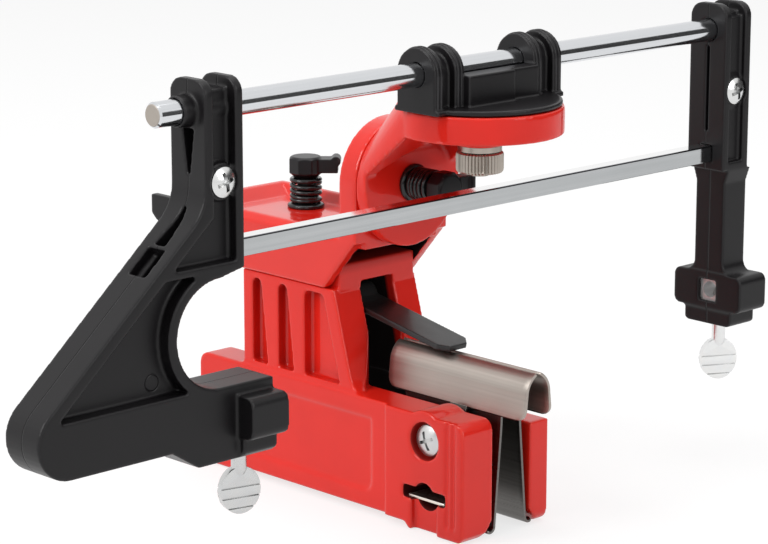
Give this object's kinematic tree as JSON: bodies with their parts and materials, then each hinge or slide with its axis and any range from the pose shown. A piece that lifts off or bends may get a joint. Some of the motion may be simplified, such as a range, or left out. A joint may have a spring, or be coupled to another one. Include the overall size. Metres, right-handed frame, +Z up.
{
  "type": "chainsaw sharpening jig",
  "caption": "Bar-mounted chainsaw sharpening jig: red cast base with a chain stop, tilting arm and swivelling guide, and a rod-borne file frame with a black handle.",
  "frame": {"origin": "mouth of the guide-bar slot on the plane of the jaws' feet, straight below the guide rod", "axes": "+X along the guide bar to the front, +Y along the file and rod to the right clamp, +Z up"},
  "size_m": [0.148, 0.3244, 0.1666],
  "materials": {
    "red_paint": "glossy orange-red paint on a die casting",
    "black_moulding": "satin black moulded plastic",
    "chromed_steel": "bright polished",
    "stainless_sheet": "brushed warm-grey sheet",
    "zinc_steel": "bright zinc plate",
    "black_steel": "blackened steel",
    "nickel_nut": "dull nickel plate"
  },
  "bodies": {
    "base": {"base_casting": "red_paint", "near_bar_spring": "stainless_sheet", "far_bar_spring": "stainless_sheet", "near_chain_plate": "stainless_sheet", "far_chain_plate": "stainless_sheet", "jaw_screws": "zinc_steel", "pawl_pin": "zinc_steel"},
    "pawl_body": {"pawl": "black_steel"},
    "saddle": {"saddle_casting": "red_paint", "saddle_bolt": "black_steel", "saddle_slide_nut": "zinc_steel", "saddle_washer": "black_steel", "saddle_spring": "black_steel"},
    "saddle_lever_body": {"saddle_lever": "black_moulding"},
    "tilt_arm": {"tilt_arm_casting": "red_paint", "tilt_bolt": "black_steel", "tilt_washer": "black_steel", "tilt_spring": "black_steel", "angle_washer": "zinc_steel"},
    "tilt_lever_body": {"tilt_lever": "black_moulding"},
    "guide_holder": {"guide_holder_body": "black_moulding", "swivel_stud": "zinc_steel"},
    "angle_nut_body": {"angle_nut": "nickel_nut"},
    "rod": {"guide_rod": "chromed_steel"},
    "file_frame": {"tie_bar": "chromed_steel", "left_handle_front": "black_moulding", "left_handle_rear": "black_moulding", "right_post_front": "black_moulding", "right_post_rear": "black_moulding", "frame_screws": "zinc_steel", "frame_nuts": "zinc_steel", "left_file_ferrule": "zinc_steel", "right_file_ferrule": "zinc_steel"},
    "left_thumb": {"left_thumb_screw": "zinc_steel"},
    "right_thumb": {"right_thumb_screw": "zinc_steel"}
  },
  "joints": [
    {"name": "pawl_lift", "type": "hinge", "parent": "base", "child": "pawl_body", "pos_m": [-0.06, 0, 0.0685], "axis": [0, -1, 0], "range_deg": [0, 20]},
    {"name": "saddle_slide", "type": "slide", "parent": "base", "child": "saddle", "axis": [1, 0, 0], "range_m": [-0.01, 0.008]},
    {"name": "saddle_lever_turn", "type": "hinge", "parent": "saddle", "child": "saddle_lever_body", "pos_m": [-0.086, 0, 0.11], "axis": [0, 0, 1], "continuous": true},
    {"name": "tilt_turn", "type": "hinge", "parent": "saddle", "child": "tilt_arm", "pos_m": [-0.037, 0, 0.113], "axis": [1, 0, 0], "range_deg": [-12, 12]},
    {"name": "tilt_lever_turn", "type": "hinge", "parent": "tilt_arm", "child": "tilt_lever_body", "pos_m": [-0.017, 0, 0.113], "axis": [1, 0, 0], "continuous": true},
    {"name": "holder_swivel", "type": "hinge", "parent": "tilt_arm", "child": "guide_holder", "pos_m": [0, 0, 0.144], "axis": [0, 0, 1], "range_deg": [-32, 32]},
    {"name": "angle_nut_turn", "type": "hinge", "parent": "guide_holder", "child": "angle_nut_body", "pos_m": [0, 0, 0.124], "axis": [0, 0, 1], "continuous": true},
    {"name": "rod_slide", "type": "slide", "parent": "guide_holder", "child": "rod", "axis": [0, 1, 0], "range_m": [-0.045, 0.045]},
    {"name": "frame_swing", "type": "hinge", "parent": "rod", "child": "file_frame", "pos_m": [0, 0, 0.157], "axis": [0, -1, 0], "range_deg": [-1, 100]},
    {"name": "left_thumb_turn", "type": "hinge", "parent": "file_frame", "child": "left_thumb", "pos_m": [0, -0.107, 0.045], "axis": [0, 0, 1], "continuous": true},
    {"name": "right_thumb_turn", "type": "hinge", "parent": "file_frame", "child": "right_thumb", "pos_m": [0, 0.1265, 0.045], "axis": [0, 0, 1], "continuous": true}
  ]
}
